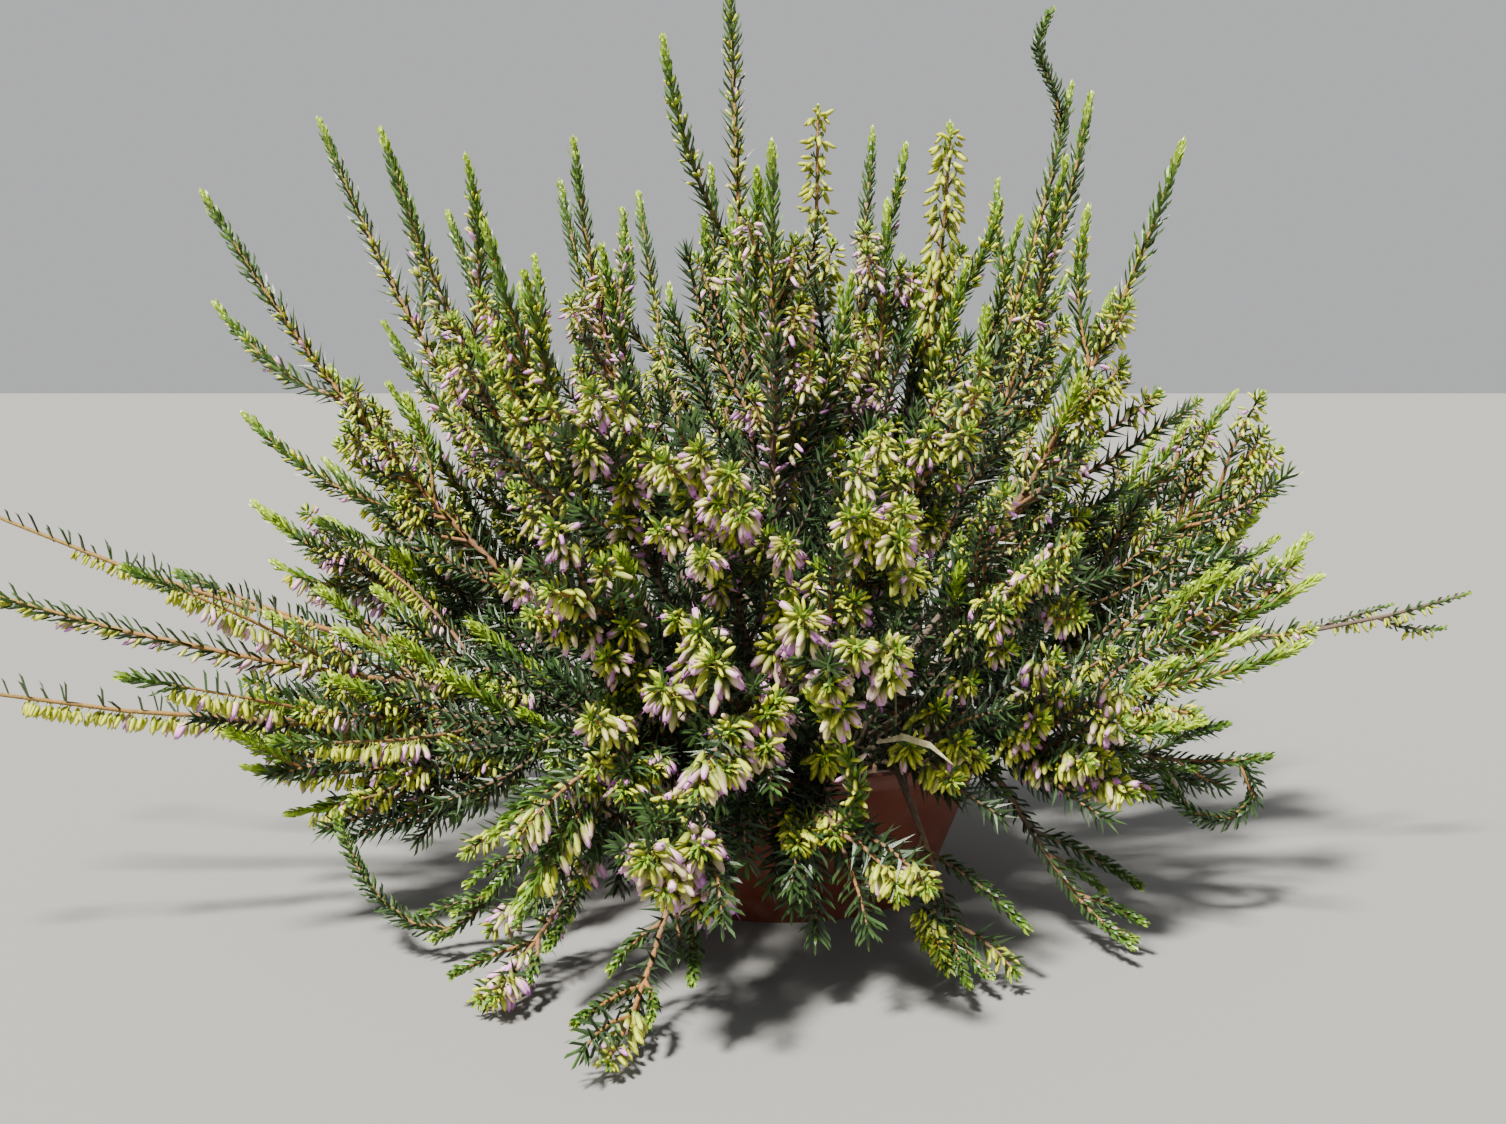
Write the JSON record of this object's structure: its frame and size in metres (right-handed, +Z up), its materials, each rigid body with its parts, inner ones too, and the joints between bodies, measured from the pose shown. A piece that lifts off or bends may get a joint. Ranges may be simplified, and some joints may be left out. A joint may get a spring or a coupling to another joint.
{
  "type": "potted winter-flowering heath",
  "caption": "Winter-flowering heath, a dense low evergreen shrub with needle leaves and hanging bell flowers, growing in a low round plastic pot of compost.",
  "frame": {"origin": "middle of the pot's underside, on the surface that the pot stands on", "axes": "+Z up along the pot's axis, -Y towards the side that faces the viewer, +X to the viewer's right"},
  "size_m": [0.537, 0.3526, 0.312],
  "materials": {
    "pot_plastic": "matte",
    "compost": "matte",
    "heath_foliage": "satin"
  },
  "bodies": {
    "root": {"pot": "pot_plastic", "compost": "compost", "spray_tall": "heath_foliage", "spray_left_arch": "heath_foliage", "spray_left_tall": "heath_foliage", "spray_left_second": "heath_foliage", "spray_left_pair": "heath_foliage", "spray_left_third": "heath_foliage", "spray_left_leaning": "heath_foliage", "spray_back_left": "heath_foliage", "spray_left_centre": "heath_foliage", "spray_back_centre": "heath_foliage", "spray_behind_tall": "heath_foliage", "spray_centre_pair": "heath_foliage", "spray_bud_topped": "heath_foliage", "spray_right_centre": "heath_foliage", "spray_pink_topped": "heath_foliage", "spray_bell_tower": "heath_foliage", "spray_back_right": "heath_foliage", "spray_wavy_topped": "heath_foliage", "spray_right_tall": "heath_foliage", "spray_right_second": "heath_foliage", "spray_right_side_high": "heath_foliage", "spray_right_side_middle": "heath_foliage", "spray_right_side_pink": "heath_foliage", "spray_right_low_back": "heath_foliage", "spray_right_low_front": "heath_foliage", "spray_dry_twig": "heath_foliage", "spray_curled": "heath_foliage", "spray_long_high": "heath_foliage", "spray_long_middle": "heath_foliage", "spray_long_low": "heath_foliage", "spray_left_side_front": "heath_foliage", "spray_left_side_back": "heath_foliage", "spray_left_side_high": "heath_foliage", "spray_left_low": "heath_foliage", "spray_trailing_left": "heath_foliage", "spray_trailing_front_left": "heath_foliage", "spray_trailing_front": "heath_foliage", "spray_trailing_right": "heath_foliage", "spray_trailing_under": "heath_foliage", "spray_head_low_centre": "heath_foliage", "spray_head_low_left": "heath_foliage", "spray_head_big": "heath_foliage", "spray_head_over_rim": "heath_foliage", "spray_head_rim_right": "heath_foliage", "spray_head_low_right": "heath_foliage", "spray_head_high_left": "heath_foliage", "spray_head_high_right": "heath_foliage", "spray_head_middle": "heath_foliage", "spray_head_middle_left": "heath_foliage", "spray_head_middle_right": "heath_foliage", "spray_head_top_left": "heath_foliage", "spray_head_top_right": "heath_foliage", "spray_rear_low_centre": "heath_foliage", "spray_rear_low_right": "heath_foliage", "spray_rear_right": "heath_foliage", "spray_rear_low_left": "heath_foliage", "spray_rear_upper": "heath_foliage", "spray_rear_side_right": "heath_foliage"}
  },
  "joints": []
}
